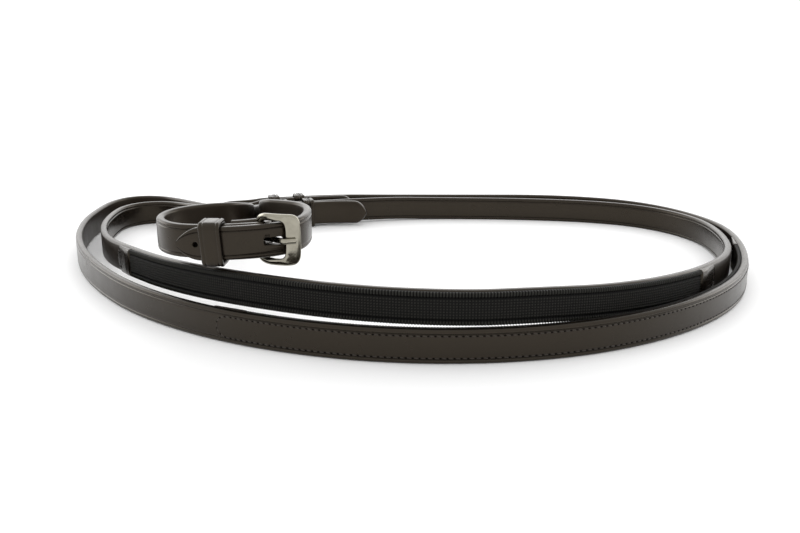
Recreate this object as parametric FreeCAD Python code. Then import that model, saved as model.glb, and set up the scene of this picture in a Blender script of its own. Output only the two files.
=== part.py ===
import FreeCAD, Part
import math
import os

# A pair of English bridle reins, buckled together at the middle and coiled up.
# All sizes are in millimetres, +Z is up and the coil stands on edge on the plane z = 0.
# The origin is under the middle of the coil; the centre buckle lies at its front left.

V = FreeCAD.Vector
UP = V(0, 0, 1)

# ---- driving dimensions --------------------------------------------------------------
STRAP_WIDTH = 16.0            # 5/8 inch reins
LEATHER = 4.0
WEBBING = 2.0                 # rubberised webbing on the flesh side of each hand part
WEBBING_WIDTH = 15.0
TAB_THICKNESS = 2.4           # leather tab over each end of the webbing
TAB_LENGTH = 22.0
GRIP_LENGTH = 350.0
THREAD = 0.8                  # width of a line of stitching
THREAD_PROUD = 0.4
STITCH_INSET = 2.9            # from the strap's edge to the line of stitching

BAR = 1.6                     # radius of the buckle's heel bar
BUCKLE_OPENING = 18.0
BUCKLE_SIDE = 3.6             # thickness of the buckle's side bars
BUCKLE_REACH = 15.1           # from the heel bar to the front bar
FRONT_BAR = (7.2, 2.6)        # along the strap, and through it
TONGUE_WIDTH = 3.0
TONGUE_THICKNESS = 2.2
PIVOT_PLAY = 0.3
SLOT_WIDTH = 4.2              # slot in the chape and hole in the billet for the tongue
CHAPE_SLOT = (13.0, 16.0)     # along the strap and through its turned end
CHAPE_SLOT_MIDDLE = (2.0, 0.0)
TONGUE_HOLE = (8.2, 9.0)
TONGUE_HOLE_MIDDLE = (6.0, 8.5)
BILLET_POINT = 11.0           # length of the billet's rounded point
END_POINT = 9.0               # length of the points of the folded ends
SPARE_HOLE = 1.5              # radius of the billet's spare hole
SPARE_HOLE_AT = 10.5          # from the billet's point

KEEPER_WALL = 1.4
KEEPER_PLAY = 0.4
BILLET_GAP = 1.4              # between the billet and the strap under it, at the keeper
BUCKLE_KEEPER_WIDTH = 10.0
BUCKLE_KEEPER_WALL = 2.2
BIT_KEEPER_WIDTH = 7.0

LEG_GAP = 0.6                 # between a strap and its own end folded back against it
LOOP_RADIUS = 6.0             # centre line of the eye that holds the bit ring
STUD_POST = 1.5
STUD_HEAD = 3.0
STUD_HEAD_THICKNESS = 1.2
STUD_CLEARANCE = 0.3          # between the folded end and the stud's head
RIVET_THICKNESS = 0.8

LEG_STEP = LEATHER + LEG_GAP
BIT_END_FOOT = KEEPER_WALL + KEEPER_PLAY     # the keepers' lower walls rest on the table
BIT_END_MIDDLE = BIT_END_FOOT + STRAP_WIDTH / 2
APPROACH_FOOT = 1.4           # the strap starts to lift off the table

# ---- routes of the two straps: x, y and the height of the strap's lower edge ----------
# The off rein starts at the point of its billet, left of the buckle, and the coil turns
# anticlockwise seen from above. The near rein starts at the chape that holds the buckle.
HEEL = V(-65.25, -98.74, 45.1)
HEEL_TURN = 12.0

OFF_ROUTE = [
    (-103.5, -105.4, 35.4), (-87.5, -109.0, 36), (-60.0, -107.7, 37.2), (-46.0, -97.5, 37.9),
    (-43.5, -79.0, 38.2), (-47.5, -63.5, 38), (-58.5, -54.0, 37.4), (-72.5, -43.0, 35.8),
    (-75.5, -12.0, 27), (-87.5, 28.0, 17), (-107.5, 66.0, 8), (-134.5, 104.0, 2),
    (-162.5, 135.5, 0), (-181.5, 144.5, 0), (-198.5, 140.0, 0), (-206.5, 124.0, 0),
    (-208.0, 100.0, 0), (-206.5, 64.0, 0), (-194.5, 16.0, 0), (-168.5, -36.0, 0),
    (-127.5, -88.0, 0), (-67.5, -129.0, 0), (2.5, -149.0, 0), (74.5, -143.0, 0),
    (136.5, -112.0, 0), (182.5, -62.0, 0), (205.5, 4.0, 0), (209.5, 64.0, 0),
    (177.0, 123.0, 0), (118.5, 147.0, 0), (48.5, 147.5, 0), (-5.0, 147.5, 0)]

NEAR_ROUTE = [
    (-69.2, -103.7, 36.9), (-88.5, -103.9, 36), (-106.5, -99.5, 35.6), (-117.0, -85.0, 35.8),
    (-114.5, -68.0, 36), (-99.5, -57.0, 36.3), (-82.0, -50.0, 35.6), (-82.0, -13.0, 27),
    (-94.5, 30.0, 17), (-115.5, 68.0, 8), (-137.5, 101.0, 2), (-155.5, 118.5, 0),
    (-170.5, 123.5, 0), (-184.5, 119.0, 0), (-193.0, 107.0, 0), (-194.5, 88.0, 0),
    (-189.5, 50.0, 1), (-171.5, 0.0, 4), (-143.5, -38.0, 7), (-113.5, -79.0, 12.5),
    (-73.5, -115.0, 17.3), (-21.5, -136.0, 17.5), (28.5, -143.0, 17.3),
    (64.5, -136.0, 16.7), (96.5, -121.0, 13), (128.5, -100.5, 10), (160.5, -69.0, 7),
    (187.0, -26.0, 3.5), (200.0, 26.0, 1), (200.0, 70.0, 0), (177.0, 107.0, 0),
    (138.5, 126.0, 0), (83.5, 134.5, 0), (28.5, 136.5, 0)]

# ---- the folded ends that hold the bit -------------------------------------------------
END_TURN = 16.0               # both ends lie at this angle to the row's x axis
OFF_NECK = (-98.0, 126.4)     # where the folded end closes on the strap behind the bit's eye
OFF_STRAIGHT = 54.0           # from the neck back to where the strap comes into line
OFF_LEG = [(-38.0, 4.8), (-66.0, 10.5)]      # the folded end's tip springs away a little
NEAR_NECK = (-89.5, 108.6)
NEAR_STRAIGHT = 84.0
NEAR_LEG = [(-38.0, 4.6), (-66.0, 14.0)]
EYE_SPREAD = 9.0              # from the neck to where the eye is fully open
EYE_END = 27.0                # from the neck to the middle of the leather round the bit ring
STUD_AT = -17.0               # from the neck, away from the bit
KEEPER_STEP = 9.0             # from the hook stud to the keeper on each side of it

# ---- distances along the straps from each route's start ---------------------------------
OFF_GRIP_START = 688.0
NEAR_GRIP_START = 531.7
BUCKLE_KEEPER_AT = 18.2       # along the off rein, from the point of its billet
CHAPE_SEAM = (0.8, 6.2)       # along the near rein, from the turned end


# ---- routes ---------------------------------------------------------------------------
def end_point(neck, u, v, z=0.0):
    """A point near a bit end: u from the neck towards the bit, v to the strap's left."""
    turn = math.radians(END_TURN)
    towards_bit = V(-math.cos(turn), -math.sin(turn), 0)
    return V(neck[0], neck[1], z) + towards_bit * u + UP.cross(towards_bit) * v


def bit_end(neck, straight, leg):
    """The strap's end goes round the bit ring in a half circle and comes back beside itself."""
    right_side = LEG_STEP / 2 - LOOP_RADIUS
    left_side = LEG_STEP / 2 + LOOP_RADIUS
    bends = [(-straight, 0.0, APPROACH_FOOT), (0.0, 0.0, BIT_END_FOOT), (EYE_SPREAD, right_side, 0.0),
             (EYE_END, right_side, 0.0, LOOP_RADIUS), (EYE_END, left_side, 0.0, LOOP_RADIUS),
             (EYE_SPREAD, left_side, 0.0), (0.0, LEG_STEP, BIT_END_FOOT)]
    bends += [(u, v, BIT_END_FOOT) for u, v in leg]
    return [tuple(end_point(neck, *bend[:3])) + bend[3:] for bend in bends]


def heel_point(u, v, z=0.0):
    """A point near the buckle: u along the strap, v outwards from the heel bar, z up."""
    turn = math.radians(HEEL_TURN)
    along = V(math.cos(turn), math.sin(turn), 0)
    outward = V(math.sin(turn), -math.cos(turn), 0)
    return HEEL + along * u + outward * v + UP * z


def chape():
    """The near strap's end turned round the heel bar and sewn against its own flesh side."""
    foot = HEEL.z - STRAP_WIDTH / 2
    bends = [(-12.6, -1.97), (-9.0, -1.3), (4.2, -5.4), (4.2, 4.1)]
    return [(heel_point(u, v).x, heel_point(u, v).y, foot) for u, v in bends]


class Route:
    """Straight runs joined by tangent arcs, through the middle of a strap's width."""

    def __init__(self, points):
        corners = [V(p[0], p[1], p[2] + STRAP_WIDTH / 2) for p in points]
        fixed = [p[3] if len(p) > 3 else None for p in points]
        self.radii = []
        self.edges = []
        here = corners[0]
        for before, corner, after, radius in zip(corners, corners[1:], corners[2:], fixed[1:]):
            way_in = (corner - before).normalize()
            way_out = (after - corner).normalize()
            half = way_in.getAngle(way_out) / 2
            shorter = min((corner - before).Length, (after - corner).Length)
            if radius is None:
                radius = 0.45 * shorter / math.tan(half)
            tangent = radius * math.tan(half)
            start = corner - way_in * tangent
            end = corner + way_out * tangent
            inward = (way_out - way_in).normalize()
            middle = corner + inward * (radius / math.cos(half) - radius)
            if (start - here).Length > 0.01:
                self.edges.append(Part.LineSegment(here, start).toShape())
            self.edges.append(Part.Arc(start, middle, end).toShape())
            self.radii.append(radius)
            here = end
        self.edges.append(Part.LineSegment(here, corners[-1]).toShape())
        self.length = sum(edge.Length for edge in self.edges)

    def stretch(self, first, last):
        """The edges of the route between two distances from its start."""
        kept = []
        done = 0.0
        for edge in self.edges:
            low = max(first - done, 0.0)
            high = min(last - done, edge.Length)
            if high - low > 0.01:
                begin = edge.getParameterByLength(low)
                finish = edge.getParameterByLength(high)
                kept.append(edge.Curve.toShape(begin, finish))
            done += edge.Length
        return kept

    def place(self, distance):
        """Point, level direction of travel, and level direction to the left."""
        rest = distance
        for edge in self.edges[:-1]:
            if rest <= edge.Length:
                break
            rest -= edge.Length
        else:
            edge = self.edges[-1]
        at = edge.getParameterByLength(min(rest, edge.Length))
        along = edge.tangentAt(at)
        along = V(along.x, along.y, 0).normalize()
        return edge.valueAt(at), along, UP.cross(along)


def ribbon(edges, inner, outer, low, high):
    """Sweep an upright rectangle: inner and outer are to the left, low and high from the middle."""
    first = edges[0]
    start = first.valueAt(first.FirstParameter)
    along = first.tangentAt(first.FirstParameter)
    left = UP.cross(along).normalize()
    corners = [start + left * side + UP * rise
               for side, rise in ((inner, low), (outer, low), (outer, high), (inner, high))]
    sweep = Part.BRepOffsetAPI.MakePipeShell(Part.Wire(edges))
    sweep.setBiNormalMode(UP)
    sweep.add(Part.makePolygon(corners + corners[:1]))
    sweep.build()
    sweep.makeSolid()
    return sweep.shape()


def strap(route, first, last):
    half = STRAP_WIDTH / 2
    return ribbon(route.stretch(first, last), -LEATHER / 2, LEATHER / 2, -half, half)


# ---- small pieces ---------------------------------------------------------------------
def block(origin, along, across, sizes, shift=(0.0, 0.0, 0.0)):
    """A box centred on origin plus shift, with its sides along, across and up."""
    length, depth, height = sizes
    box = Part.makeBox(length, depth, height, V(-length / 2, -depth / 2, -height / 2))
    box.translate(V(*shift))
    turn = FreeCAD.Rotation(along, across, UP, "XYZ")
    box.Placement = FreeCAD.Placement(origin, turn).multiply(box.Placement)
    return box


def pointed(shape, end, inward, length):
    """Trim a strap's end to a rounded point. inward is the direction from the point."""
    half = STRAP_WIDTH / 2
    side = UP.cross(inward)
    shoulder = end + inward * length
    bulge = end + inward * (length * 0.36)
    lift = half * 0.62
    upper = Part.Arc(end, bulge + UP * lift, shoulder + UP * (half + 0.01)).toShape()
    lower = Part.Arc(shoulder - UP * (half + 0.01), bulge - UP * lift, end).toShape()
    back = end - inward * 2.0
    rim = Part.makePolygon([shoulder + UP * (half + 0.01), shoulder + UP * (half + 3),
                            back + UP * (half + 3), back - UP * (half + 3),
                            shoulder - UP * (half + 3), shoulder - UP * (half + 0.01)])
    waste = Part.Face(Part.Wire([upper] + rim.Edges + [lower]))
    waste.translate(side * -LEG_STEP / 2)
    return shape.cut(waste.extrude(side * LEG_STEP))


def keeper(origin, along, thickness, width, wall=KEEPER_WALL):
    """A leather loop round a stack of straps of the given thickness."""
    left = UP.cross(along)
    inside_depth = thickness + 2 * KEEPER_PLAY
    inside_height = STRAP_WIDTH + 2 * KEEPER_PLAY
    outer = block(origin, along, left,
                  (width, inside_depth + 2 * wall, inside_height + 2 * wall))
    long_edges = [e for e in outer.Edges if abs(e.tangentAt(0).dot(along)) > 0.99]
    outer = outer.makeFillet(wall, long_edges)
    return outer.cut(block(origin, along, left, (width + 1, inside_depth, inside_height)))


def seam(route, first, last, face, outward):
    """Two lines of stitching standing just proud of one face of the strap."""
    row = STRAP_WIDTH / 2 - STITCH_INSET
    inner, outer = sorted((face, face + outward * THREAD_PROUD))
    edges = route.stretch(first, last)
    rows = [ribbon(edges, inner, outer, middle - THREAD / 2, middle + THREAD / 2)
            for middle in (-row, row)]
    return Part.makeCompound(rows)


def rod(points, radius):
    """A round bar along straight runs with balls at its joints."""
    pieces = [Part.makeSphere(radius, p) for p in points]
    for a, b in zip(points, points[1:]):
        pieces.append(Part.makeCylinder(radius, (b - a).Length, a, b - a))
    return pieces[0].multiFuse(pieces[1:])


# ---- the buckle -----------------------------------------------------------------------
FRONT_BAR_RISE = 10.0         # from the heel bar out to the middle of the front bar
SIDE_BAR_BENDS = ((0.0, 0.0), (4.6, 5.6), (9.0, 9.4), (BUCKLE_REACH, FRONT_BAR_RISE))
BAR_EDGE_RADIUS = 1.2         # on the front bar's long edges
TONGUE_TIP = 1.4              # how far the tongue reaches past the front bar's middle


def buckle_frame():
    level = BUCKLE_OPENING / 2 + BUCKLE_SIDE / 2
    sides = [rod([heel_point(u, v, z) for u, v in SIDE_BAR_BENDS], BUCKLE_SIDE / 2)
             for z in (-level, level)]
    heel_bar = Part.makeCylinder(BAR, 2 * level, heel_point(0, 0, -level), UP)
    along = heel_point(1, 0) - heel_point(0, 0)
    front_bar = block(heel_point(BUCKLE_REACH, FRONT_BAR_RISE), along, UP.cross(along),
                      (FRONT_BAR[0], FRONT_BAR[1], 2 * level + BUCKLE_SIDE))
    upright = [e for e in front_bar.Edges if abs(e.tangentAt(0).dot(UP)) > 0.99]
    front_bar = front_bar.makeFillet(BAR_EDGE_RADIUS, upright)
    return sides[0].multiFuse([sides[1], heel_bar, front_bar]).removeSplitter()


def buckle_tongue():
    """An eye on the heel bar, and an arm out through the straps that rests on the front bar."""
    eye_radius = BAR + 1.4
    rest = FRONT_BAR_RISE + FRONT_BAR[1] / 2 + PIVOT_PLAY + TONGUE_THICKNESS / 2
    bends = [(1.2, 1.6), (7.2, 8.2), (10.4, rest + 0.2), (BUCKLE_REACH + TONGUE_TIP, rest)]
    low = -TONGUE_WIDTH / 2
    eye = Part.makeCylinder(eye_radius, TONGUE_WIDTH, heel_point(0, 0, low), UP)
    parts = [eye]
    for (u0, v0), (u1, v1) in zip(bends, bends[1:]):
        start = heel_point(u0, v0)
        end = heel_point(u1, v1)
        way = (end - start).normalize()
        length = (end - start).Length
        parts.append(block((start + end) / 2, way, UP.cross(way),
                           (length, TONGUE_THICKNESS, TONGUE_WIDTH)))
        parts.append(Part.makeCylinder(TONGUE_THICKNESS / 2, TONGUE_WIDTH, end + UP * low, UP))
    arm = parts[0].multiFuse(parts[1:])
    bore = Part.makeCylinder(BAR + PIVOT_PLAY, TONGUE_WIDTH + 2, heel_point(0, 0, low - 1), UP)
    return arm.cut(bore).removeSplitter()


# ---- the folded ends with their hook studs -----------------------------------------------
def stud_axes(neck):
    """Where a stud goes through the strap's right face, and the way to the left of the strap."""
    right_face = end_point(neck, STUD_AT, -LEATHER / 2, BIT_END_MIDDLE)
    left = end_point((0, 0), 0, 1)
    return right_face, left


def stud_hole(neck):
    """The hole through the strap and the folded end over it."""
    face, left = stud_axes(neck)
    return Part.makeCylinder(STUD_POST + 0.05, 2 * LEG_STEP + 4, face - left * 2, left)


def hook_stud(neck):
    """A riveted post whose rounded head holds the folded end."""
    face, left = stud_axes(neck)
    depth = LEG_STEP + LEATHER + STUD_CLEARANCE
    rivet = Part.makeCylinder(STUD_HEAD, RIVET_THICKNESS, face - left * RIVET_THICKNESS, left)
    post = Part.makeCylinder(STUD_POST, depth + RIVET_THICKNESS, face - left * 0.4, left)
    head = Part.makeCylinder(STUD_HEAD, STUD_HEAD_THICKNESS, face + left * depth, left)
    outer_rim = max(head.Edges, key=lambda e: e.CenterOfMass.dot(left))
    head = head.makeFillet(STUD_HEAD_THICKNESS * 0.4, [outer_rim])
    return rivet.multiFuse([post, head])


def bit_keeper(neck, u):
    towards_bit = end_point((0, 0), 1, 0)
    middle = end_point(neck, u, LEG_STEP / 2, BIT_END_MIDDLE)
    return keeper(middle, towards_bit, LEATHER + LEG_STEP, BIT_KEEPER_WIDTH)


# ---- the two reins --------------------------------------------------------------------
def off_rein(route):
    shape = strap(route, 0, route.length)
    tip, along, left = route.place(0)
    shape = pointed(shape, tip, along, BILLET_POINT)
    far_tip, far_along, far_left = route.place(route.length)
    shape = pointed(shape, far_tip, far_along * -1, END_POINT)
    along_buckle = heel_point(1, 0) - heel_point(0, 0)
    tongue_hole = block(heel_point(*TONGUE_HOLE_MIDDLE), along_buckle, UP.cross(along_buckle),
                        TONGUE_HOLE + (SLOT_WIDTH,))
    shape = shape.cut(tongue_hole)
    spare = route.place(SPARE_HOLE_AT)[0]
    shape = shape.cut(Part.makeCylinder(SPARE_HOLE, 3 * LEATHER, spare - left * 1.5 * LEATHER, left))
    return shape.cut(stud_hole(OFF_NECK))


def near_rein(route):
    shape = strap(route, 0, route.length)
    tip, along, left = route.place(route.length)
    shape = pointed(shape, tip, along * -1, END_POINT)
    along_buckle = heel_point(1, 0) - heel_point(0, 0)
    slot = block(heel_point(*CHAPE_SLOT_MIDDLE), along_buckle, UP.cross(along_buckle),
                 CHAPE_SLOT + (SLOT_WIDTH,))
    return shape.cut(slot).cut(stud_hole(NEAR_NECK))


def grip(route, start, lined_side):
    """Webbing, end tabs and stitching of one hand part; lined_side is +1 for the left face."""
    face = LEATHER / 2 * lined_side
    web_faces = sorted((face, face + WEBBING * lined_side))
    tab_faces = sorted((face, face + TAB_THICKNESS * lined_side))
    end = start + GRIP_LENGTH
    half_web = WEBBING_WIDTH / 2
    half_tab = STRAP_WIDTH / 2 - 0.3
    web = ribbon(route.stretch(start, end), *web_faces, -half_web, half_web)
    lower_tab = ribbon(route.stretch(start - TAB_LENGTH, start), *tab_faces, -half_tab, half_tab)
    upper_tab = ribbon(route.stretch(end, end + TAB_LENGTH), *tab_faces, -half_tab, half_tab)
    rows = seam(route, start - TAB_LENGTH * 0.8, end + TAB_LENGTH * 0.8, -face, -lined_side)
    return {"grip_webbing": web, "grip_tab_buckle_end": lower_tab,
            "grip_tab_bit_end": upper_tab, "grip_stitching": rows}


def main():
    off = Route(OFF_ROUTE + bit_end(OFF_NECK, OFF_STRAIGHT, OFF_LEG))
    near = Route(chape() + NEAR_ROUTE + bit_end(NEAR_NECK, NEAR_STRAIGHT, NEAR_LEG))

    parts = {"off_rein_strap": off_rein(off), "near_rein_strap": near_rein(near)}
    for name, shape in grip(off, OFF_GRIP_START, 1).items():
        parts["off_" + name] = shape
    for name, shape in grip(near, NEAR_GRIP_START, -1).items():
        parts["near_" + name] = shape

    parts["buckle_frame"] = buckle_frame()
    parts["buckle_tongue"] = buckle_tongue()
    parts["chape_stitching"] = seam(near, *CHAPE_SEAM, LEATHER / 2, 1)
    middle, along, left = off.place(BUCKLE_KEEPER_AT)
    stack = 2 * LEATHER + BILLET_GAP
    parts["buckle_keeper"] = keeper(middle + left * (stack - LEATHER) / 2, along, stack,
                                    BUCKLE_KEEPER_WIDTH, BUCKLE_KEEPER_WALL)
    for side, neck in (("off", OFF_NECK), ("near", NEAR_NECK)):
        parts[side + "_hook_stud"] = hook_stud(neck)
        parts[side + "_fixed_keeper"] = bit_keeper(neck, STUD_AT + KEEPER_STEP)
        parts[side + "_running_keeper"] = bit_keeper(neck, STUD_AT - KEEPER_STEP)

    os.makedirs("parts", exist_ok=True)
    for name, shape in parts.items():
        shape.exportStep("parts/" + name + ".step")
        print(name, "valid", shape.isValid(), "solids", len(shape.Solids),
              "volume mm3", round(shape.Volume))

    section = STRAP_WIDTH * LEATHER
    for name, route in (("off_rein_strap", off), ("near_rein_strap", near)):
        print(name, "length mm", round(route.length, 1),
              "bend radii mm", [round(r, 1) for r in route.radii])
        print(name, "section x length mm3", round(section * route.length),
              "volume mm3", round(parts[name].Volume))
    box = Part.makeCompound(list(parts.values())).BoundBox
    print("box mm", [round(v, 2) for v in (box.XMin, box.XMax, box.YMin, box.YMax,
                                            box.ZMin, box.ZMax)])


main()
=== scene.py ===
import bisect
import math
import random

import bmesh
import bpy
from mathutils import Matrix, Vector


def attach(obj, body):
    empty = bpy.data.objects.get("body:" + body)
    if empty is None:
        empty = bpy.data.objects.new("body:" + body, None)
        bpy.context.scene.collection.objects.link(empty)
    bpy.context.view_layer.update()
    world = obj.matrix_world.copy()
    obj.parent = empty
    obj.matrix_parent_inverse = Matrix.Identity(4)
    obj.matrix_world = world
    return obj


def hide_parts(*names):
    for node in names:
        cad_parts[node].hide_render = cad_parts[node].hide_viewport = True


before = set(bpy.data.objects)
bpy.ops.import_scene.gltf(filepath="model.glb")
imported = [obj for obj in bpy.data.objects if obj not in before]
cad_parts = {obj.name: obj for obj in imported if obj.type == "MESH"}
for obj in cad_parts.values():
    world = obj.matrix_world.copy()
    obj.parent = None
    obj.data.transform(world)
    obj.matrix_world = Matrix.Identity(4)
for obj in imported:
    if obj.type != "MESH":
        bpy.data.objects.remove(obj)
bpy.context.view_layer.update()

UP = Vector((0, 0, 1))

# ---- sizes, in metres -----------------------------------------------------------------------
STRAP_WIDTH = 0.016
LEATHER = 0.004
ROUND_EDGE = 0.0014
CREASE_INSET = 0.0022
CREASE_WIDTH = 0.00026
CREASE_DEPTH = 0.00045
SWELL = 0.00010                # how much the grain face is crowned
BILLET_POINT = 0.013           # lengths of the straps' pointed ends
END_POINT = 0.009
STITCH_INSET = 0.0029
STITCH_PITCH = 0.0030
STITCH_ARCH = 0.0065
STITCH_HALF_LENGTH = 0.00112
STITCH_HALF_WIDTH = 0.00034
STITCH_HALF_HEIGHT = 0.00026
STITCH_TILT = (3, 11)          # degrees, least and most
# flat dark bead painted as the shade of a stitch hole
STITCH_HOLE_SHADE = (0.00062, 0.00044, 0.00008)
STITCH_LIFT = 0.00005
TAB_STITCH_LIFT = 0.0013
WEBBING = 0.0019
WEBBING_WIDTH = 0.015
WEBBING_BASE = 0.0005          # depth of the weave's valleys under its nominal face
BUMP_HEIGHT = 0.00080
RIB_PITCH = 0.00136
ROW_PITCH = 0.00128
CROSS_THREAD_HEIGHT = 0.00018
SEAM_GROOVE_WIDTH = 0.00034
WEBBING_RIM = 0.0006           # width and drop of the webbing's worn edge
WEBBING_RIM_DROP = 0.0005
TAB_THICKNESS = 0.0024
TAB_LENGTH = 0.022
TAB_REACH = 0.8 * TAB_LENGTH   # how far the stitching runs over a tab
OFF_FIRST_REACH = 0.0130
NEAR_FIRST_REACH = 0.0205
OFF_HAND = ((-0.0709, -0.1244), (0.2029, 0.0007))        # ends of the webbing, seen from above
NEAR_HAND = ((-0.1435, -0.0381), (0.1495, -0.0797))
KEEPER_WALL = 0.0014
KEEPER_PLAY = 0.0004
KEEPER_WIDTH = 0.007
KEEPER_CORNER = 0.0012
KEEPER_CREASE_INSET = 0.0019
KEEPER_CREASE_DEPTH = 0.00042
KEEPER_EDGE = 0.0010
CENTRE_KEEPER_WIDTH = 0.010
CENTRE_KEEPER_WALL = 0.0022
CENTRE_KEEPER_SLACK = 0.0014   # room that it leaves beside its two straps
CENTRE_KEEPER_SKEW = math.radians(4.0)
CENTRE_WAY = Vector((0.998568, -0.053493, 0))
CENTRE_MIDDLE = Vector((-0.08563, -0.108634, 0.04409)) + UP.cross(CENTRE_WAY) * 0.0027
HEEL = Vector((-0.06525, -0.09874, 0.0451))
HEEL_TURN = math.radians(12.0)
BAR_MIDDLE = 0.0151            # from the heel bar to the middle of the front bar
BAR_HALF = 0.0036
BAR_RISE = 0.0100
HEEL_HALF = 0.0015
OPENING_HALF = 0.0090          # half the buckle's height, inside and outside
FRAME_HALF = 0.0124
FRAME_HALF_DEPTH = 0.0015
BAR_GROOVE_AT = 0.72           # share of the way out to the front bar's edge
BAR_GROOVE_WIDTH = 0.00022
BAR_GROOVE_DEPTH = 0.00025
TONGUE_REST = BAR_RISE + 0.0024
TONGUE_HALF_WIDTH = 0.0014
TONGUE_HALF_DEPTH = 0.0010
EYE_RADIUS = 0.00246           # middle of the tongue's eye, round the heel bar
EYE_WALL = 0.00052
TONGUE_HOLE = (0.0059, 0.0085)
TONGUE_HOLE_SIZE = (0.0088, 0.009, 0.0038)
SPARE_HOLE_AT = 0.0105
SPARE_HOLE_RADIUS = 0.0013
CHAPE_SLOT = (0.0025, 0.0)
CHAPE_SLOT_SIZE = (0.011, 0.016, 0.0038)
CHAPE_STITCH_ROW = 0.0051
CHAPE_STITCHES = 4
CHAPE_FIRST_STITCH = 0.0012
CHAPE_STITCH_PITCH = 0.0016
CHAPE_STITCH_HALF_LENGTH = 0.0007
END_TURN = math.radians(16.0)
OFF_NECK = Vector((-0.0980, 0.1264, 0))
NEAR_NECK = Vector((-0.0895, 0.1086, 0))
BIT_END_MIDDLE = 0.0098
STUD_AT = -0.017               # along the bit end, from its neck
KEEPER_STEP = 0.009            # from the stud to the keeper on each side
LEG_STEP = 0.0046              # between the middles of the folded strap's two legs
OFF_SEED = 11
NEAR_SEED = 21
CHAPE_SEED = 31

# ---- routes: x, y and the height of the strap's lower edge ----------------------------------
OFF_POINTS = [
    (-0.1035, -0.1054, 0.0354), (-0.0875, -0.1090, 0.036), (-0.0600, -0.1077, 0.0372),
    (-0.0460, -0.0975, 0.0379), (-0.0435, -0.0790, 0.0382), (-0.0475, -0.0635, 0.038),
    (-0.0585, -0.0540, 0.0374), (-0.0725, -0.0430, 0.0358), (-0.0755, -0.0120, 0.027),
    (-0.0875, 0.0280, 0.017), (-0.1075, 0.0660, 0.008), (-0.1345, 0.1040, 0.002),
    (-0.1625, 0.1355, 0.0), (-0.1815, 0.1445, 0.0), (-0.1985, 0.1400, 0.0),
    (-0.2065, 0.1240, 0.0), (-0.2080, 0.1000, 0.0), (-0.2065, 0.0640, 0.0),
    (-0.1945, 0.0160, 0.0), (-0.1685, -0.0360, 0.0), (-0.1275, -0.0880, 0.0),
    (-0.0675, -0.1290, 0.0), (0.0025, -0.1490, 0.0), (0.0745, -0.1430, 0.0),
    (0.1365, -0.1120, 0.0), (0.1825, -0.0620, 0.0), (0.2055, 0.0040, 0.0),
    (0.2095, 0.0640, 0.0), (0.1770, 0.1230, 0.0), (0.1185, 0.1470, 0.0),
    (0.0485, 0.1475, 0.0), (-0.0050, 0.1475, 0.0), (-0.0461, 0.1413, 0.0014),
    (-0.0887, 0.1291, 0.0017), (-0.0980, 0.1264, 0.0018), (-0.1077, 0.1275, 0.0),
    (-0.1250, 0.1225, 0.0), (-0.1217, 0.1110, 0.0), (-0.1044, 0.1159, 0.0),
    (-0.0967, 0.1220, 0.0018), (-0.0874, 0.1246, 0.0018), (-0.0460, 0.1365, 0.0018),
    (-0.0317, 0.1345, 0.0018)]

NEAR_POINTS = [
    (-0.0780, -0.0994, 0.0371), (-0.0743, -0.0993, 0.0371), (-0.0623, -0.0926, 0.0371),
    (-0.0603, -0.1019, 0.0371), (-0.0692, -0.1037, 0.0369), (-0.0885, -0.1039, 0.036),
    (-0.1065, -0.0995, 0.0356), (-0.1170, -0.0850, 0.0358), (-0.1145, -0.0680, 0.036),
    (-0.0995, -0.0570, 0.0363), (-0.0820, -0.0500, 0.0356), (-0.0820, -0.0130, 0.027),
    (-0.0945, 0.0300, 0.017), (-0.1155, 0.0680, 0.008), (-0.1375, 0.1010, 0.002),
    (-0.1555, 0.1185, 0.0), (-0.1705, 0.1235, 0.0), (-0.1845, 0.1190, 0.0),
    (-0.1930, 0.1070, 0.0), (-0.1945, 0.0880, 0.0), (-0.1895, 0.0500, 0.001),
    (-0.1715, 0.0, 0.0044), (-0.1435, -0.0380, 0.0075), (-0.1135, -0.0790, 0.0124),
    (-0.0735, -0.1150, 0.0166), (-0.0215, -0.1360, 0.0163), (0.0285, -0.1430, 0.0161),
    (0.0645, -0.1360, 0.0155), (0.0965, -0.1210, 0.0122), (0.1285, -0.1005, 0.0098),
    (0.1605, -0.0690, 0.007), (0.1870, -0.0260, 0.0035), (0.2000, 0.0260, 0.001),
    (0.2000, 0.0700, 0.0), (0.1770, 0.1070, 0.0), (0.1385, 0.1260, 0.0),
    (0.0835, 0.1345, 0.0), (0.0285, 0.1365, 0.0), (-0.0088, 0.1318, 0.0014),
    (-0.0802, 0.1113, 0.0017), (-0.0895, 0.1086, 0.0018), (-0.0992, 0.1097, 0.0),
    (-0.1165, 0.1047, 0.0), (-0.1132, 0.0932, 0.0), (-0.0959, 0.0981, 0.0),
    (-0.0882, 0.1042, 0.0018), (-0.0789, 0.1069, 0.0018), (-0.0375, 0.1188, 0.0018),
    (-0.0222, 0.1133, 0.0018)]


# ---- camera ---------------------------------------------------------------------------------
def add_camera():
    data = bpy.data.cameras.new("camera")
    data.lens = 40.5
    data.sensor_width = 36.0
    camera = bpy.data.objects.new("camera", data)
    camera.location = (0.0015, -0.5135, 0.1485)
    camera.rotation_euler = (math.radians(74.09), 0, 0)
    bpy.context.scene.collection.objects.link(camera)
    bpy.context.scene.camera = camera


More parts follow.
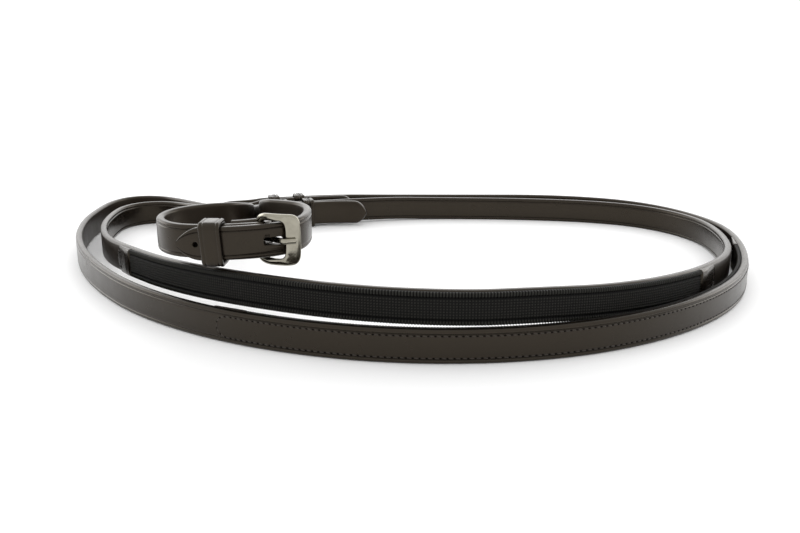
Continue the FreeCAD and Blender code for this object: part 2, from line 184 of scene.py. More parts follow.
# ---- materials ------------------------------------------------------------------------------
class Nodes:
    """Short calls for building a material's nodes."""

    def __init__(self, name):
        self.material = bpy.data.materials.new(name)
        self.material.use_nodes = True
        self.tree = self.material.node_tree
        self.shader = self.tree.nodes["Principled BSDF"]

    def add(self, kind, inputs=None, **settings):
        node = self.tree.nodes.new(kind)
        for key, value in settings.items():
            setattr(node, key, value)
        for key, value in (inputs or {}).items():
            self.put(node.inputs[key], value)
        return node

    def put(self, socket, value):
        if isinstance(value, bpy.types.NodeSocket):
            self.tree.links.new(value, socket)
        else:
            socket.default_value = value

    def coords(self):
        return self.add("ShaderNodeTexCoord").outputs["Object"]

    def noise(self, scale, detail=3.0, rough=0.5):
        node = self.add("ShaderNodeTexNoise", {"Vector": self.coords(), "Scale": scale,
                                               "Detail": detail, "Roughness": rough})
        return node.outputs["Fac"]

    def mix(self, factor, first, second):
        node = self.add("ShaderNodeMix", data_type="RGBA")
        self.put(node.inputs[0], factor)
        for socket, value in ((node.inputs[6], first), (node.inputs[7], second)):
            self.put(socket, (*value, 1.0) if isinstance(value, tuple) else value)
        return node.outputs[2]

    def math(self, operation, *values):
        node = self.add("ShaderNodeMath", operation=operation)
        for socket, value in zip(node.inputs, values):
            self.put(socket, value)
        return node.outputs[0]

    def bump(self, height, strength, distance, under=None):
        node = self.add("ShaderNodeBump", {"Height": height, "Strength": strength,
                                           "Distance": distance})
        if under is not None:
            self.put(node.inputs["Normal"], under)
        return node.outputs["Normal"]

    def finish(self, **inputs):
        for key, value in inputs.items():
            name = key.replace("_", " ")
            if isinstance(value, tuple) and len(value) == 3:
                value = (*value, 1.0)
            self.put(self.shader.inputs[name], value)
        return self.material


def leather_material(name, dark, brown, roughness):
    n = Nodes(name)
    # tag channels: edge tone, crease groove mask for painted shade, flesh side tone
    tags = n.add("ShaderNodeAttribute", attribute_name="tone_and_shade_tags").outputs["Color"]
    split = n.add("ShaderNodeSeparateColor", {"Color": tags})
    edge = split.outputs[0]
    crease_shade = split.outputs[1]
    flesh = split.outputs[2]
    cloud = n.noise(38.0, 4.0, 0.55)
    colour = n.mix(cloud, dark, brown)
    streak = n.noise(420.0, 3.0, 0.6)
    colour = n.mix(n.math("MULTIPLY", streak, 0.35), colour, tuple(c * 0.55 for c in dark))
    # painted shade: the crease grooves are darkened almost to black, standing in for the shade
    # inside a groove
    colour = n.mix(n.math("MULTIPLY", crease_shade, 0.75), colour, (0.0035, 0.0026, 0.002))
    colour = n.mix(n.math("MULTIPLY", edge, 0.5), colour, tuple(c * 0.7 for c in dark))
    colour = n.mix(n.math("MULTIPLY", flesh, 0.55), colour, tuple(c * 1.5 for c in brown))
    rough = n.math("ADD", n.math("MULTIPLY", n.noise(160.0, 3.0, 0.6), 0.16), roughness - 0.08)
    rough = n.math("ADD", rough, n.math("MULTIPLY", flesh, 0.12))
    cells = n.add("ShaderNodeTexVoronoi", {"Vector": n.coords(), "Scale": 1500.0},
                  feature="DISTANCE_TO_EDGE").outputs["Distance"]
    grain = n.bump(cells, 0.10, 0.00012)
    fine = n.bump(n.noise(2600.0, 2.0, 0.5), 0.06, 0.0001, grain)
    waves = n.bump(n.noise(90.0, 2.0, 0.5), 0.25, 0.0004, fine)
    return n.finish(Base_Color=colour, Roughness=rough, Normal=waves,
                    Specular_IOR_Level=0.39, Specular_Tint=(1.0, 0.86, 0.68))


def webbing_material():
    n = Nodes("rubber_webbing")
    tags = n.add("ShaderNodeAttribute", attribute_name="tone_and_shade_tags").outputs["Color"]
    # raised is the weave's height mask: low places get painted shade in the colour and more
    # roughness
    raised = n.add("ShaderNodeSeparateColor", {"Color": tags}).outputs[0]
    speckle = n.noise(3000.0, 2.0, 0.6)
    top = n.mix(speckle, (0.013, 0.0125, 0.0100), (0.034, 0.033, 0.027))
    # painted shade: the valleys of the weave are darkened almost to black; the speckled tops keep
    # the webbing's own tone
    colour = n.mix(raised, (0.0010, 0.0009, 0.0008), top)
    fibre = n.bump(n.noise(5200.0, 3.0, 0.6), 0.35, 0.00012)
    rough = n.math("ADD", n.math("MULTIPLY", speckle, 0.18), 0.72)
    rough = n.math("SUBTRACT", rough, n.math("MULTIPLY", raised, 0.45))
    return n.finish(Base_Color=colour, Roughness=rough, Normal=fibre,
                    Specular_IOR_Level=0.17)


def thread_material():
    n = Nodes("waxed_thread")
    twist = n.add("ShaderNodeTexWave", {"Vector": n.coords(), "Scale": 900.0,
                                        "Distortion": 1.5}).outputs["Fac"]
    colour = n.mix(twist, (0.012, 0.0085, 0.006), (0.034, 0.024, 0.017))
    return n.finish(Base_Color=colour, Roughness=0.42, Specular_IOR_Level=0.36,
                    Normal=n.bump(twist, 0.4, 0.00012))


# painted shade: flat near-black beads stand in for the shade inside the stitch holes
def hole_shade_material():
    n = Nodes("stitch_hole_shade")
    shade = n.mix(n.noise(900.0), (0.0012, 0.0009, 0.0007), (0.004, 0.003, 0.002))
    return n.finish(Base_Color=shade, Roughness=0.8, Specular_IOR_Level=0.05)


def nickel_material():
    n = Nodes("polished_nickel")
    cloud = n.noise(240.0, 4.0, 0.6)
    colour = n.mix(cloud, (0.22, 0.205, 0.165), (0.40, 0.38, 0.315))
    rough = n.math("ADD", n.math("MULTIPLY", n.noise(700.0, 4.0, 0.65), 0.14), 0.07)
    scratches = n.bump(n.noise(1900.0, 3.0, 0.7), 0.08, 0.0001)
    return n.finish(Base_Color=colour, Metallic=1.0, Roughness=rough, Normal=scratches)


# ---- lines and sweeps -----------------------------------------------------------------------
class Line:
    """A strap's smooth middle line, with distances along it."""

    def __init__(self, name, points):
        curve = bpy.data.curves.new(name, "CURVE")
        curve.dimensions = "3D"
        curve.resolution_u = 20
        spline = curve.splines.new("NURBS")
        spline.points.add(len(points) - 1)
        for control, (x, y, foot) in zip(spline.points, points):
            control.co = (x, y, foot + STRAP_WIDTH / 2, 1.0)
        spline.order_u = 3
        spline.use_endpoint_u = True
        holder = bpy.data.objects.new(name, curve)
        mesh = bpy.data.meshes.new_from_object(holder)
        found = [v.co.copy() for v in mesh.vertices]
        bpy.data.objects.remove(holder)
        bpy.data.curves.remove(curve)
        bpy.data.meshes.remove(mesh)
        self.points = found[:1]
        for point in found[1:]:
            if (point - self.points[-1]).length > 1e-5:
                self.points.append(point)
        self.at = [0.0]
        for a, b in zip(self.points, self.points[1:]):
            self.at.append(self.at[-1] + (b - a).length)
        self.length = self.at[-1]
        self.ways = []
        last = len(self.points) - 1
        for i in range(last + 1):
            way = self.points[min(i + 1, last)] - self.points[max(i - 1, 0)]
            way.z = 0
            self.ways.append(way.normalized())

    def place(self, distance):
        """Point, level direction of travel, and level direction to the left."""
        distance = min(max(distance, 0.0), self.length)
        i = min(max(bisect.bisect_right(self.at, distance) - 1, 0), len(self.at) - 2)
        share = (distance - self.at[i]) / (self.at[i + 1] - self.at[i])
        point = self.points[i].lerp(self.points[i + 1], share)
        way = self.ways[i].lerp(self.ways[i + 1], share).normalized()
        return point, way, UP.cross(way)

    def nearest(self, x, y):
        """The distance along the line that is closest to a point seen from above."""
        gaps = [math.hypot(p.x - x, p.y - y) for p in self.points]
        return self.at[gaps.index(min(gaps))]


def new_object(name, verts, faces, material, tone_and_shade_tags=None):
    mesh = bpy.data.meshes.new(name)
    mesh.from_pydata([tuple(v) for v in verts], [], faces)
    if tone_and_shade_tags is not None:
        # vertex tags: edge and flesh tone, and the masks where shade is painted into the colour
        layer = mesh.attributes.new("tone_and_shade_tags", "FLOAT_COLOR", "POINT")
        for item, tag in zip(layer.data, tone_and_shade_tags):
            item.color = (*tag, 1.0)
    work = bmesh.new()
    work.from_mesh(mesh)
    bmesh.ops.recalc_face_normals(work, faces=work.faces)
    work.to_mesh(mesh)
    work.free()
    for face in mesh.polygons:
        face.use_smooth = True
    for item in material if isinstance(material, list) else [material]:
        mesh.materials.append(item)
    piece = bpy.data.objects.new(name, mesh)
    bpy.context.scene.collection.objects.link(piece)
    return piece


def tube_faces(rows, count, cyclic=False, offset=0):
    """Quads between rows of count points, with end caps unless it is cyclic."""
    faces = []
    for i in range(rows if cyclic else rows - 1):
        near_row = offset + i * count
        far_row = offset + ((i + 1) % rows) * count
        for j in range(count):
            k = (j + 1) % count
            faces.append((near_row + j, near_row + k, far_row + k, far_row + j))
    if not cyclic:
        faces.append(tuple(offset + j for j in range(count)))
        faces.append(tuple(offset + (rows - 1) * count + j for j in range(count)))
    return faces


def sweep(name, line, stations, section, material):
    """A solid through the section(distance) outlines: (left, up, tag) for each point; the tags hold
    edge and flesh tone and masks for painted shade.
    """
    verts = []
    tone_and_shade_tags = []
    for distance in stations:
        point, way, left = line.place(distance)
        outline = section(distance)
        for side, rise, tag in outline:
            verts.append(point + left * side + UP * rise)
            tone_and_shade_tags.append(tag)
    return new_object(name, verts, tube_faces(len(stations), len(outline)), material, tone_and_shade_tags)


def strap_outline(grain):
    """Cross-section of the leather: grain is +1 where the smooth side is on the left."""
    half = STRAP_WIDTH / 2
    face = LEATHER / 2
    crease_at = half - CREASE_INSET
    steps = [half - ROUND_EDGE, 0.0063, 0.00605, 0.0059, crease_at, 0.0057, 0.00555, 0.0053,
             0.0047, 0.0036, 0.0018]
    heights = [-h for h in steps] + [0.0] + steps[::-1]
    points = []
    for h in heights:
        groove = math.exp(-((abs(h) - crease_at) / CREASE_WIDTH) ** 2)
        swell = SWELL * (1 - (h / half) ** 2)
        # the groove's mask goes in the second tag channel, where the leather material paints crease
        # shade
        points.append((grain * (face + swell - CREASE_DEPTH * groove), h, (0.0, groove, 0.0)))
    corner = [(math.cos(t), math.sin(t)) for t in (math.radians(a) for a in (18, 36, 54, 72, 90))]
    inner = face - ROUND_EDGE
    for c, s in corner:
        points.append((grain * (inner + ROUND_EDGE * c), half - ROUND_EDGE * (1 - s),
                       (s, 0.0, 0.0)))
    for c, s in corner[::-1]:
        points.append((-grain * (inner + ROUND_EDGE * c), half - ROUND_EDGE * (1 - s),
                       (s, 0.0, 0.5)))
    for h in (half - ROUND_EDGE, 0.0033, 0.0, -0.0033, -half + ROUND_EDGE):
        points.append((-grain * face, h, (0.0, 0.0, 1.0)))
    for c, s in corner:
        points.append((-grain * (inner + ROUND_EDGE * c), -half + ROUND_EDGE * (1 - s),
                       (s, 0.0, 0.5)))
    for c, s in corner[::-1]:
        points.append((grain * (inner + ROUND_EDGE * c), -half + ROUND_EDGE * (1 - s),
                       (s, 0.0, 0.0)))
    return points


def make_strap(name, line, grain, start_point, end_point, material):
    """The whole strap. start_point and end_point are the lengths of its pointed ends."""
    outline = strap_outline(grain)

    def section(distance):
        scale = 1.0
        for length, gap in ((start_point, distance), (end_point, line.length - distance)):
            if length and gap < length:
                scale = min(scale, max(1 - (1 - gap / length) ** 2, 0.0006) ** 0.8)
        thin = 0.55 + 0.45 * min(1.0, scale * 1.2)
        return [(side * thin, rise * scale, tag) for side, rise, tag in outline]

    near_tip = [0.00004, 0.0002, 0.0005, 0.0009, 0.0014, 0.002, 0.0028, 0.0038, 0.005, 0.0065,
                0.008, 0.0095, 0.011, 0.013]
    closest = 0.00003
    stations = set(line.at)
    if start_point:
        stations |= set(near_tip)
    if end_point:
        stations |= {line.length - gap for gap in near_tip}
    ordered = sorted(stations)
    kept = [ordered[0]]
    for station in ordered[1:]:
        if station - kept[-1] > closest:
            kept.append(station)
    return sweep(name, line, kept, section, material)


def cut(piece, cutters):
    """Take the cutters out of a piece for good."""
    for tool in cutters:
        change = piece.modifiers.new("cut", "BOOLEAN")
        change.operation = "DIFFERENCE"
        change.solver = "EXACT"
        change.object = tool
    bpy.context.view_layer.update()
    seen = piece.evaluated_get(bpy.context.evaluated_depsgraph_get())
    result = bpy.data.meshes.new_from_object(seen)
    piece.modifiers.clear()
    old = piece.data
    piece.data = result
    bpy.data.meshes.remove(old)
    for tool in cutters:
        bpy.data.objects.remove(tool)


def frame_at(origin, along, across):
    """Matrix with x along, y across and z up."""
    matrix = Matrix((along, across, UP)).transposed().to_4x4()
    matrix.translation = origin
    return matrix


def box_cutter(origin, along, sizes, rounding=0.0):
    work = bmesh.new()
    bmesh.ops.create_cube(work, size=1.0)
    bmesh.ops.scale(work, vec=sizes, verts=work.verts)
    if rounding:
        upright = [e for e in work.edges
                   if abs((e.verts[0].co - e.verts[1].co).normalized().y) > 0.9]
        bmesh.ops.bevel(work, geom=upright, offset=rounding, segments=4, affect="EDGES")
    bmesh.ops.transform(work, matrix=frame_at(origin, along, UP.cross(along)), verts=work.verts)
    mesh = bpy.data.meshes.new("cutter")
    work.to_mesh(mesh)
    work.free()
    tool = bpy.data.objects.new("cutter", mesh)
    bpy.context.scene.collection.objects.link(tool)
    return tool


def round_cutter(origin, along, radius, depth):
    work = bmesh.new()
    bmesh.ops.create_cone(work, segments=20, radius1=radius, radius2=radius, depth=depth,
                          cap_ends=True)
    turn = Matrix.Rotation(math.radians(90), 4, "X")
    place = frame_at(origin, along, UP.cross(along))
    bmesh.ops.transform(work, matrix=place @ turn, verts=work.verts)
    mesh = bpy.data.meshes.new("cutter")
    work.to_mesh(mesh)
    work.free()
    tool = bpy.data.objects.new("cutter", mesh)
    bpy.context.scene.collection.objects.link(tool)
    return tool


# ---- hand parts -----------------------------------------------------------------------------
def webbing(name, line, start, end, side, material):
    """Ribbed band on the flesh side; side is +1 on the left."""
    half = WEBBING_WIDTH / 2
    face = LEATHER / 2
    seam = STRAP_WIDTH / 2 - STITCH_INSET
    selvage = seam + 0.0005
    columns = 61
    heights = [-half + 2 * half * i / (columns - 1) for i in range(columns)]
    plain = (0.0, 0.0, 0.0)

    def section(distance):
        rib = 0.5 + 0.5 * math.cos(2 * math.pi * (distance - start) / RIB_PITCH)
        other = 0.5 - 0.5 * math.cos(2 * math.pi * (distance - start) / RIB_PITCH)
        points = []
        for h in heights:
            row = 0.5 + 0.5 * math.cos(2 * math.pi * h / ROW_PITCH)
            raised = BUMP_HEIGHT * (rib * row) ** 0.8 + CROSS_THREAD_HEIGHT * other * (1 - row)
            if abs(h) > selvage:
                raised = BUMP_HEIGHT * rib
            raised -= BUMP_HEIGHT * math.exp(-((abs(h) - seam) / SEAM_GROOVE_WIDTH) ** 2)
            # height mask for painted shade: the lower the weave, the darker its colour is painted
            tag = (min(1.0, max(0.0, raised / BUMP_HEIGHT)) ** 1.4, 0.0, 0.0)
            edge = max(0.0, abs(h) - half + WEBBING_RIM) / WEBBING_RIM
            raised -= WEBBING_RIM_DROP * edge ** 2
            points.append((side * (face + WEBBING - WEBBING_BASE + raised), h, tag))
        points.append((side * face * 0.98, half, plain))
        points.append((side * face * 0.98, -half, plain))
        return points

    count = int(round((end - start) / (RIB_PITCH / 5)))
    stations = [start + (end - start) * i / count for i in range(count + 1)]
    return sweep(name, line, stations, section, material)


def tab(name, line, cut_end, plain_end, side, material):
    """Leather tab over the end of the webbing, thinning towards its plain end."""
    half = STRAP_WIDTH / 2 - 0.0003
    face = LEATHER / 2
    length = abs(plain_end - cut_end)
    heights = [half * f for f in (-1, -0.97, -0.9, -0.75, -0.5, 0, 0.5, 0.75, 0.9, 0.97, 1)]

    def section(distance):
        gone = abs(distance - cut_end) / length
        thick = TAB_THICKNESS * (1 - 0.85 * max(0.0, gone - 0.25) / 0.75) + 0.0001
        reach = 1.0
        if gone > 0.75:
            reach = math.sqrt(max(0.02, 1 - ((gone - 0.75) / 0.25) ** 2))
        points = []
        for h in heights:
            edge = abs(h) / half
            drop = 0.45 * thick * max(0.0, edge - 0.85) / 0.15
            points.append((side * (face + thick - drop), h * reach, (edge ** 6, 0.0, 0.0)))
        points.append((side * face * 0.98, half * reach, (0.0, 0.0, 0.0)))
        points.append((side * face * 0.98, -half * reach, (0.0, 0.0, 0.0)))
        return points

    low, high = sorted((cut_end, plain_end))
    steps = 28
    stations = [low + (high - low) * i / steps for i in range(steps + 1)]
    return sweep(name, line, stations, section, material)


def stitch_loop(start, end, row):
    """Distances and heights of a line of stitching: two rows joined by an arch at each end."""
    path = []
    arch = STITCH_ARCH
    steps = 40
    for i in range(steps + 1):
        angle = math.pi / 2 + math.pi * i / steps
        path.append((start + arch + arch * math.cos(angle), row * math.sin(angle)))
    for i in range(steps + 1):
        angle = -math.pi / 2 + math.pi * i / steps
        path.append((end - arch + arch * math.cos(angle), row * math.sin(angle)))
    path.append(path[0])
    return path


def walk(path, pitch):
    """Evenly spaced places along a path of (distance, height), with the way it goes."""
    places = []
    left_over = 0.0
    for (s0, h0), (s1, h1) in zip(path, path[1:]):
        length = math.hypot(s1 - s0, h1 - h0)
        gone = left_over
        while gone < length:
            share = gone / length
            places.append((s0 + (s1 - s0) * share, h0 + (h1 - h0) * share,
                           (s1 - s0) / length, (h1 - h0) / length))
            gone += pitch
        left_over = gone - length
    return places


def bead(verts, faces, marks, place, along, across, out, sizes, mark):
    """One small rounded bead at a place; sizes are its half lengths."""
    rings = 5
    count = 8
    base = len(verts)
    for i in range(rings):
        polar = math.pi * (i + 0.5) / rings
        for j in range(count):
            turn = 2 * math.pi * j / count
            verts.append(place - along * (math.cos(polar) * sizes[0])
                         + across * (math.sin(polar) * math.cos(turn) * sizes[1])
                         + out * (math.sin(polar) * math.sin(turn) * sizes[2]))
    new = tube_faces(rings, count, offset=base)
    faces.extend(new)
    marks.extend([mark] * len(new))


def stitches(name, line, places, side, face, slots, seed, length=STITCH_HALF_LENGTH):
    """Stitches on one face of a strap, with a flat near-black bead at each end of every stitch,
    painted as the shade of its hole.
    """
    chance = random.Random(seed)
    verts = []
    faces = []
    marks = []
    for s, h, ds, dh in places:
        point, way, left = line.place(s)
        out = left * side
        along = (way * ds + UP * dh).normalized()
        tilt = math.radians(chance.uniform(*STITCH_TILT))
        along = Matrix.Rotation(tilt * side, 3, out) @ along
        across = out.cross(along)
        place = point + out * face + UP * h
        size = chance.uniform(0.92, 1.06)
        bead(verts, faces, marks, place, along, across, out,
             (length * size, STITCH_HALF_WIDTH * size, STITCH_HALF_HEIGHT * size), 0)
        end = place + (way * ds + UP * dh) * (STITCH_PITCH / 2)
        # painted shade of the stitch hole
        bead(verts, faces, marks, end, along, across, out, STITCH_HOLE_SHADE, 1)
    piece = new_object(name, verts, faces, slots)
    for polygon, mark in zip(piece.data.polygons, marks):
        polygon.material_index = mark
    return piece


def hand_part(side_name, line, start, end, lined, materials, seed, first_reach):
    """Webbing, tabs and stitching of one rein. lined is +1 where the webbing is on the left,
    and first_reach is how far the stitching goes over the first tab."""
    # dark is the near-black material painted as shade in the stitch holes
    leather, rubber, thread, dark = materials
    face = LEATHER / 2
    lap = 0.0004
    clear = 0.001
    band = webbing(side_name + "_hand_webbing", line, start, end, lined, rubber)
    first = tab(side_name + "_hand_tab_1", line, start + lap, start - TAB_LENGTH, lined, leather)
    second = tab(side_name + "_hand_tab_2", line, end - lap, end + TAB_LENGTH, lined, leather)
    row = STRAP_WIDTH / 2 - STITCH_INSET
    loop = stitch_loop(start - first_reach, end + TAB_REACH, row)
    places = walk(loop, STITCH_PITCH)
    outer = stitches(side_name + "_hand_stitches", line, places, -lined, face + STITCH_LIFT,
                     [thread, dark], seed)
    # the stitches sunk in the webbing are drawn wholly in the painted hole shade
    inner = stitches(side_name + "_hand_stitches_inside", line,
                     [p for p in places if start + clear < p[0] < end - clear],
                     lined, face + WEBBING - 2 * WEBBING_BASE, [dark, dark], seed + 1)
    ends = stitches(side_name + "_tab_stitches", line,
                    [p for p in places if p[0] < start - clear or p[0] > end + clear],
                    lined, face + TAB_STITCH_LIFT, [thread, dark], seed + 2)
    for piece, slot in ((band, "webbing"), (first, "leather"), (second, "leather"),
                        (outer, "thread"), (inner, "thread"), (ends, "thread")):
        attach(piece, "reins")
    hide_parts(side_name + "_grip_webbing")
    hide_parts(side_name + "_grip_tab_buckle_end")
    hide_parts(side_name + "_grip_tab_bit_end")
    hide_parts(side_name + "_grip_stitching")


# ---- buckle ---------------------------------------------------------------------------------
def heel_point(u, v, z=0.0):
    along = Vector((math.cos(HEEL_TURN), math.sin(HEEL_TURN), 0))
    outward = Vector((math.sin(HEEL_TURN), -math.cos(HEEL_TURN), 0))
    return HEEL + along * u + outward * v + UP * z


def frame_rise(u):
    """How far the buckle's frame stands out from the heel bar, u along the strap."""
    if u < 0:
        return 1.2 * u
    share = min(u / BAR_MIDDLE, 1.0)
    return BAR_RISE * (1 - (1 - share) ** 2.6) - 0.10 * max(0.0, u - BAR_MIDDLE)


def oval(low, high, half_height, turn):
    """A point of a rectangle with well rounded corners, from low to high along the strap."""
    c, s = math.cos(turn), math.sin(turn)
    reach = (high - low) / 2
    return ((low + high) / 2 + math.copysign(abs(c) ** 0.42, c) * reach,
            math.copysign(abs(s) ** 0.42, s) * half_height)


def buckle(material):
    """The frame is lofted between its inner and its outer outline."""
    rows = 72
    count = 28
    inner = []
    outer = []
    for i in range(rows):
        turn = 2 * math.pi * (i + 0.5) / rows
        inner.append(oval(HEEL_HALF, BAR_MIDDLE - BAR_HALF, OPENING_HALF, turn))
        outer.append(oval(-HEEL_HALF, BAR_MIDDLE + BAR_HALF, FRAME_HALF, turn))
    verts = []
    for (ui, zi), (uo, zo) in zip(inner, outer):
        u, z = (ui + uo) / 2, (zi + zo) / 2
        centre = heel_point(u, frame_rise(u), z)
        step = 0.0004
        slope = (heel_point(u + step, frame_rise(u + step))
                 - heel_point(u - step, frame_rise(u - step))).normalized()
        face = slope.cross(UP).normalized()
        outward = (slope * (uo - ui) + UP * (zo - zi)).normalized()
        half = math.hypot(uo - ui, zo - zi) / 2
        front = min(max((u - 0.010) / 0.004, 0.0), 1.0)
        front = front * front * (3 - 2 * front)
        deep = FRAME_HALF_DEPTH - 0.0002 * front
        power = 0.85 - 0.33 * front
        for j in range(count):
            turn = 2 * math.pi * j / count
            c, s = math.cos(turn), math.sin(turn)
            across = math.copysign(abs(c) ** power, c) * half
            depth = math.copysign(abs(s) ** power, s) * deep
            if s > 0.1:
                groove = math.exp(-((across - half * BAR_GROOVE_AT) / BAR_GROOVE_WIDTH) ** 2)
                depth -= BAR_GROOVE_DEPTH * groove * front
            verts.append(centre + outward * across + face * depth)
    piece = new_object("nickel_buckle", verts, tube_faces(rows, count, cyclic=True), material)
    smooth = piece.modifiers.new("smooth", "SUBSURF")
    smooth.levels = 1
    smooth.render_levels = 2
    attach(piece, "buckle")
    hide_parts("buckle_frame")


def rounded(points, times):
    """Cut the corners of a line of points again and again."""
    for _ in range(times):
        new = [points[0]]
        for a, b in zip(points, points[1:]):
            new.append(a.lerp(b, 0.25))
            new.append(a.lerp(b, 0.75))
        new.append(points[-1])
        points = new
    return points


def tongue(material):
    """A bent tapering bar that rests on the front bar, and its eye round the heel bar."""
    bends = [(0.0012, 0.0016), (0.0073, 0.0078), (0.0098, 0.0116), (0.0112, TONGUE_REST + 0.0003),
             (0.0136, TONGUE_REST + 0.0001), (0.0165, TONGUE_REST)]
    line = rounded([heel_point(u, v) for u, v in bends], 3)
    count = 16
    verts = []
    total = len(line)
    for i, point in enumerate(line):
        way = (line[min(i + 1, total - 1)] - line[max(i - 1, 0)]).normalized()
        out = way.cross(UP).normalized()
        share = i / (total - 1)
        wide = TONGUE_HALF_WIDTH - 0.0001 * share
        close = min(1.0, math.sqrt(max(0.02, (1 - share) / 0.08)))
        for j in range(count):
            turn = 2 * math.pi * j / count
            c, s = math.cos(turn), math.sin(turn)
            verts.append(point + UP * (math.copysign(abs(c) ** 0.8, c) * wide * close)
                         + out * (math.copysign(abs(s) ** 0.8, s) * TONGUE_HALF_DEPTH * close))
    faces = tube_faces(total, count)
    base = len(verts)
    around = 28
    eye = 12
    for i in range(around):
        angle = 2 * math.pi * i / around
        for j in range(eye):
            turn = 2 * math.pi * j / eye
            radius = EYE_RADIUS + EYE_WALL * math.cos(turn)
            verts.append(heel_point(radius * math.cos(angle), radius * math.sin(angle),
                                    0.0015 * math.sin(turn)))
    faces += tube_faces(around, eye, cyclic=True, offset=base)
    piece = new_object("nickel_tongue", verts, faces, material)
    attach(piece, "tongue")
    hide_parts("buckle_tongue")


# ---- keepers and studs ----------------------------------------------------------------------
def keeper(name, node, body, origin, along, stack, width, material,
           wall=KEEPER_WALL, skew=0.0):
    """A leather loop with a crease along each edge, round a stack of straps."""
    left = UP.cross(along)
    half_depth = stack / 2 + KEEPER_PLAY + wall / 2
    half_height = STRAP_WIDTH / 2 + KEEPER_PLAY + wall / 2
    corner = wall / 2 + KEEPER_CORNER
    loop = []
    for ca, cb, first in ((half_depth - corner, half_height - corner, 0.0),
                          (-half_depth + corner, half_height - corner, 90.0),
                          (-half_depth + corner, -half_height + corner, 180.0),
                          (half_depth - corner, -half_height + corner, 270.0)):
        for i in range(9):
            angle = math.radians(first + 90.0 * i / 8)
            normal = (math.cos(angle), math.sin(angle))
            loop.append((ca + corner * normal[0], cb + corner * normal[1], normal))
    outline = []
    half = width / 2
    face = wall / 2
    crease_at = half - KEEPER_CREASE_INSET
    for w in (-half, -half + 0.0002, -half + 0.0005, -half + 0.0009, -half + 0.0013,
              -crease_at - 0.0003, -crease_at, -crease_at + 0.0003, -crease_at + 0.0008,
              -0.0012, 0.0012, crease_at - 0.0008, crease_at - 0.0003, crease_at,
              crease_at + 0.0003, half - 0.0013, half - 0.0009, half - 0.0005, half - 0.0002, half):
        groove = math.exp(-((abs(w) - crease_at) / CREASE_WIDTH) ** 2)
        edge = max(0.0, abs(w) - half + KEEPER_EDGE) / KEEPER_EDGE
        # the groove's mask in the second tag channel gets painted crease shade in the leather
        # material
        outline.append((w, face - KEEPER_CREASE_DEPTH * groove - 0.55 * face * edge ** 2.2,
                        (edge, groove, 0.0)))
    outline += [(half - 0.0002, -face + 0.0002, (0.5, 0.0, 1.0)),
                (half - 0.0008, -face, (0.2, 0.0, 1.0)),
                (-half + 0.0008, -face, (0.2, 0.0, 1.0)),
                (-half + 0.0002, -face + 0.0002, (0.5, 0.0, 1.0))]
    verts = []
    tone_and_shade_tags = []
    for a, b, (na, nb) in loop:
        for w, t, tag in outline:
            lean = math.tan(skew) * (b + nb * t)
            verts.append(origin + along * (w - lean) + left * (a + na * t) + UP * (b + nb * t))
            tone_and_shade_tags.append(tag)
    faces = tube_faces(len(loop), len(outline), cyclic=True)
    piece = new_object(name, verts, faces, material, tone_and_shade_tags)
    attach(piece, body)
    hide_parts(node)
    return piece


def end_place(neck, u, v, z):
    towards_bit = Vector((-math.cos(END_TURN), -math.sin(END_TURN), 0))
    return neck + towards_bit * u + UP.cross(towards_bit) * v + UP * z


def stud(name, node, neck, material):
    """Riveted post with a domed head, turned about its own axis."""
    towards_bit = end_place(Vector(), 1, 0, 0)
    out = UP.cross(towards_bit)
    base = end_place(neck, STUD_AT, -LEATHER / 2, BIT_END_MIDDLE)
    profile = [(0.0001, -0.0009), (0.0016, -0.00085), (0.0026, -0.0006), (0.0030, -0.0002),
               (0.0029, 0.0), (0.0015, 0.0001), (0.00148, 0.0088), (0.0028, 0.0089),
               (0.0030, 0.0092), (0.0029, 0.0096), (0.0022, 0.0100), (0.0012, 0.0102),
               (0.0001, 0.01025)]
    count = 28
    verts = []
    for radius, depth in profile:
        for j in range(count):
            turn = 2 * math.pi * j / count
            verts.append(base + out * depth + towards_bit * (radius * math.cos(turn))
                         + UP * (radius * math.sin(turn)))
    piece = new_object(name, verts, tube_faces(len(profile), count), material)
    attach(piece, "reins")
    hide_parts(node)
    return piece


# ---- floor and light ------------------------------------------------------------------------
def add_floor():
    n = Nodes("pale_floor")
    tone = n.mix(n.noise(3.0), (0.93, 0.93, 0.93), (0.945, 0.945, 0.945))
    material = n.finish(Base_Color=tone, Roughness=0.6, Specular_IOR_Level=0.2,
                        Emission_Color=(1.0, 1.0, 1.0), Emission_Strength=0.06)
    size = 80.0
    verts = [(-size, -size, 0), (size, -size, 0), (size, size, 0), (-size, size, 0)]
    floor = new_object("floor", [Vector(v) for v in verts], [(0, 1, 2, 3)], material)


def add_area(name, location, size, energy):
    """A soft rectangular lamp that looks at the coil's middle."""
    data = bpy.data.lights.new(name, "AREA")
    data.shape = "RECTANGLE"
    data.size = size[0]
    data.size_y = size[1]
    data.energy = energy
    lamp = bpy.data.objects.new(name, data)
    lamp.location = location
    aim = Vector((0, 0, 0.02)) - Vector(location)
    lamp.rotation_euler = aim.to_track_quat("-Z", "Y").to_euler()
    bpy.context.scene.collection.objects.link(lamp)


def add_light():
    world = bpy.data.worlds.new("studio")
    world.use_nodes = True
    background = world.node_tree.nodes["Background"]
    background.inputs["Color"].default_value = (1.0, 1.0, 1.0, 1.0)
    background.inputs["Strength"].default_value = 1.09
    bpy.context.scene.world = world
    add_area("back_light", (0.0, 1.5, 0.75), (3.0, 1.1), 11.0)
    add_area("left_light", (-1.3, 0.5, 0.5), (0.9, 0.7), 5.0)
    add_area("right_light", (1.3, 0.5, 0.5), (0.9, 0.7), 5.0)
    bpy.context.scene.view_settings.view_transform = "Standard"


# ---- the scene ------------------------------------------------------------------------------
add_camera()
off_line = Line("off_line", OFF_POINTS)
near_line = Line("near_line", NEAR_POINTS)

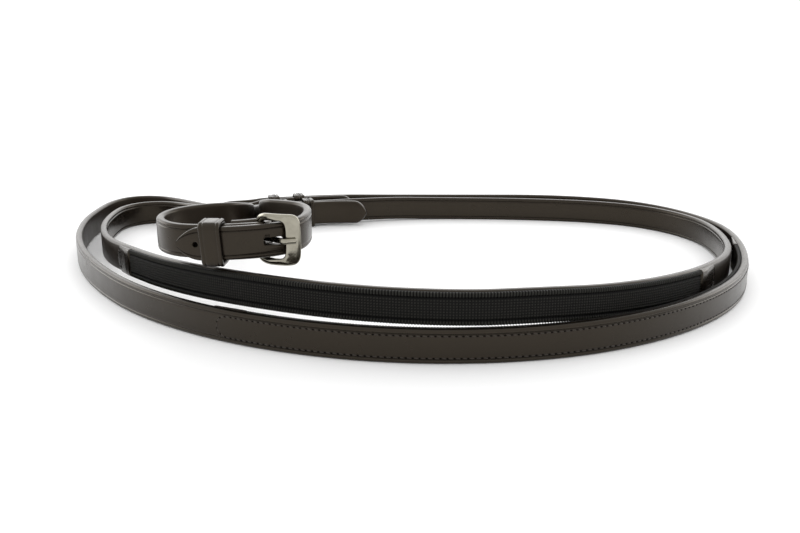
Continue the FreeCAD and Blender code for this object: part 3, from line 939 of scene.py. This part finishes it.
leather = leather_material("bridle_leather", dark=(0.0050, 0.0036, 0.0027),
                           brown=(0.0092, 0.0065, 0.0045), roughness=0.25)
rubber = webbing_material()
thread = thread_material()
hole_shade = hole_shade_material()
nickel = nickel_material()

off_strap = make_strap("off_rein", off_line, -1, BILLET_POINT, END_POINT, leather)
near_strap = make_strap("near_rein", near_line, 1, 0.0, END_POINT, leather)

buckle_way = heel_point(1, 0) - heel_point(0, 0)
slot_rounding = 0.0016
hole_rounding = 0.0005
spare_point, spare_way, _ = off_line.place(SPARE_HOLE_AT)
cut(off_strap, [box_cutter(heel_point(*TONGUE_HOLE), buckle_way, TONGUE_HOLE_SIZE, hole_rounding),
                round_cutter(spare_point, spare_way, SPARE_HOLE_RADIUS, 3 * LEATHER)])
cut(near_strap, [box_cutter(heel_point(*CHAPE_SLOT), buckle_way, CHAPE_SLOT_SIZE, slot_rounding)])

hand_materials = (leather, rubber, thread, hole_shade)
hand_part("off", off_line, *[off_line.nearest(x, y) for x, y in OFF_HAND], 1,
          hand_materials, OFF_SEED, OFF_FIRST_REACH)
hand_part("near", near_line, *[near_line.nearest(x, y) for x, y in NEAR_HAND], -1,
          hand_materials, NEAR_SEED, NEAR_FIRST_REACH)

chape_rows = [(CHAPE_FIRST_STITCH + CHAPE_STITCH_PITCH * i, h, 1.0, 0.0)
              for h in (-CHAPE_STITCH_ROW, CHAPE_STITCH_ROW) for i in range(CHAPE_STITCHES)]
chape = stitches("chape_stitches", near_line, chape_rows, 1, LEATHER / 2 + 0.0001,
                 [thread, hole_shade], CHAPE_SEED, length=CHAPE_STITCH_HALF_LENGTH)
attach(chape, "reins")
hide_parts("chape_stitching")

buckle(nickel)
tongue(nickel)

keeper("centre_keeper_loop", "buckle_keeper", "centre_keeper", CENTRE_MIDDLE, CENTRE_WAY,
       2 * LEATHER + CENTRE_KEEPER_SLACK, CENTRE_KEEPER_WIDTH, leather,
       wall=CENTRE_KEEPER_WALL, skew=CENTRE_KEEPER_SKEW)

for side, neck in (("off", OFF_NECK), ("near", NEAR_NECK)):
    towards_bit = end_place(Vector(), 1, 0, 0)
    found = [stud(side + "_stud", side + "_hook_stud", neck, nickel)]
    for which, u, body in (("fixed", STUD_AT + KEEPER_STEP, "reins"),
                           ("running", STUD_AT - KEEPER_STEP, side + "_keeper")):
        middle = end_place(neck, u, LEG_STEP / 2, BIT_END_MIDDLE)
        found.append(keeper(f"{side}_{which}_loop", f"{side}_{which}_keeper", body,
                            middle, towards_bit, LEATHER + LEG_STEP, KEEPER_WIDTH, leather))

for piece, node, line, side in ((off_strap, "off_rein_strap", off_line, "off"),
                                (near_strap, "near_rein_strap", near_line, "near")):
    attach(piece, "reins")
    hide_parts(node)

add_floor()
add_light()
bpy.context.view_layer.update()
